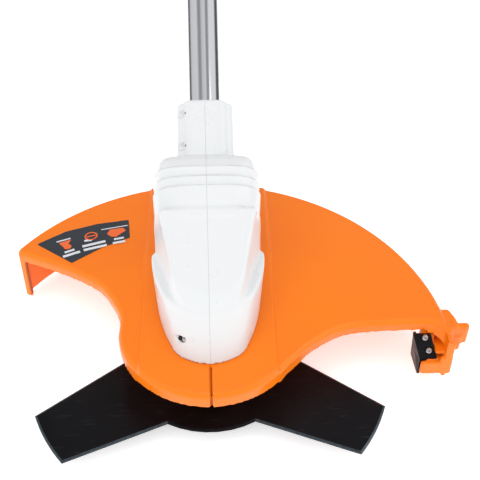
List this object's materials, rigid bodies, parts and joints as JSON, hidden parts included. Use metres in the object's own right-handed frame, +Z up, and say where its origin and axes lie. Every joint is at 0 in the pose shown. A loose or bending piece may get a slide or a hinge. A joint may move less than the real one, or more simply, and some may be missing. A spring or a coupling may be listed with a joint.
{
  "type": "brush cutter",
  "caption": "Battery brush cutter: three-tooth steel blade under an orange guard, white motor housing, straight aluminium shaft, loop handle and rear grip with battery.",
  "frame": {"origin": "on the blade spindle's axis, at the flat sole of the glide cup, the tool's lowest point", "axes": "+Z up the spindle, with the blade level; +Y back along the shaft to the operator, the shaft rising 28 degrees; +X to the operator's left, the side of the line knife"},
  "size_m": [0.3326, 1.5365, 0.8715],
  "materials": {
    "white_plastic": "moulded white plastic with a light satin shine",
    "orange_plastic": "moulded orange plastic with a satin shine",
    "black_plastic": "black moulded nylon with fine spark grain",
    "rubber": "soft black rubber, dull",
    "blade_steel": "black coated steel, ground bare along the cutting edges",
    "bright_steel": "plated steel",
    "dark_steel": "blackened steel",
    "aluminium": "bright drawn aluminium with lengthwise streaks",
    "copper": null,
    "label_film": "dark slate printed film",
    "circuit_board": "green circuit board"
  },
  "bodies": {
    "body": {"battery_terminals": "black_plastic", "bearing_lower": "bright_steel", "bearing_upper": "bright_steel", "bracket_lower": "black_plastic", "bracket_screw_1": "bright_steel", "bracket_screw_2": "bright_steel", "bracket_upper": "black_plastic", "control_board": "circuit_board", "guard": "orange_plastic", "guard_label": "label_film", "guard_screw_1": "dark_steel", "guard_screw_2": "dark_steel", "guard_screw_3": "dark_steel", "guard_screw_4": "dark_steel", "handle_screw_1": "dark_steel", "handle_screw_2": "dark_steel", "handle_screw_3": "dark_steel", "harness_clamp": "bright_steel", "harness_nut": "bright_steel", "harness_screw": "dark_steel", "housing_left": "white_plastic", "housing_right": "white_plastic", "knife_screw_1": "bright_steel", "knife_screw_2": "bright_steel", "line_knife": "blade_steel", "motor_cable": "rubber", "motor_mount": "aluminium", "neck_screw_1": "dark_steel", "neck_screw_2": "dark_steel", "neck_screw_3": "dark_steel", "neck_screw_4": "dark_steel", "nose_screw": "dark_steel", "rear_handle_left": "white_plastic", "rear_handle_right": "white_plastic", "shaft_tube": "aluminium", "stator_core": "dark_steel", "stator_winding": "copper", "trigger_pin": "bright_steel", "trigger_switch": "black_plastic"},
    "drive": {"rotor_bell": "dark_steel", "rotor_magnets": "bright_steel", "spindle": "bright_steel", "drive_flange": "dark_steel", "blade": "blade_steel", "thrust_washer": "bright_steel", "blade_nut": "bright_steel", "glide_cup": "black_plastic"},
    "trigger": {"trigger": "black_plastic"},
    "lockoff": {"lockoff_button": "orange_plastic"},
    "battery": {"battery_pack": "black_plastic"},
    "latch": {"battery_latch": "orange_plastic"},
    "loop": {"loop_handle": "black_plastic", "loop_grip": "rubber", "loop_bolt": "bright_steel"},
    "knob": {"loop_knob": "black_plastic"}
  },
  "joints": [
    {"name": "blade_spin", "type": "hinge", "parent": "body", "child": "drive", "pos_m": [0, 0, 0], "axis": [0, 0, 1], "continuous": true},
    {"name": "trigger_pull", "type": "hinge", "parent": "body", "child": "trigger", "pos_m": [0, 1.1876, 0.6922], "axis": [1, 0, 0], "range_deg": [0, 10], "stiffness_Nm_per_rad": 0.15, "springref_deg": -11.46},
    {"name": "lockoff_press", "type": "slide", "parent": "body", "child": "lockoff", "axis": [0, 0.4695, -0.8829], "range_m": [0, 0.003], "stiffness_N_per_m": 500, "springref_m": -0.002},
    {"name": "battery_slide", "type": "slide", "parent": "body", "child": "battery", "axis": [0, 0.8829, 0.4695], "range_m": [0, 0.07]},
    {"name": "battery_latch_press", "type": "slide", "parent": "battery", "child": "latch", "axis": [0, 0.4695, -0.8829], "range_m": [0, 0.0025], "stiffness_N_per_m": 600, "springref_m": -0.002},
    {"name": "loop_tilt", "type": "hinge", "parent": "body", "child": "loop", "pos_m": [0, 0.78451, 0.53224], "axis": [1, 0, 0], "range_deg": [-40, 40]},
    {"name": "knob_turn", "type": "hinge", "parent": "loop", "child": "knob", "pos_m": [0, 0.78451, 0.53224], "axis": [1, 0, 0], "range_deg": [0, 720]}
  ]
}
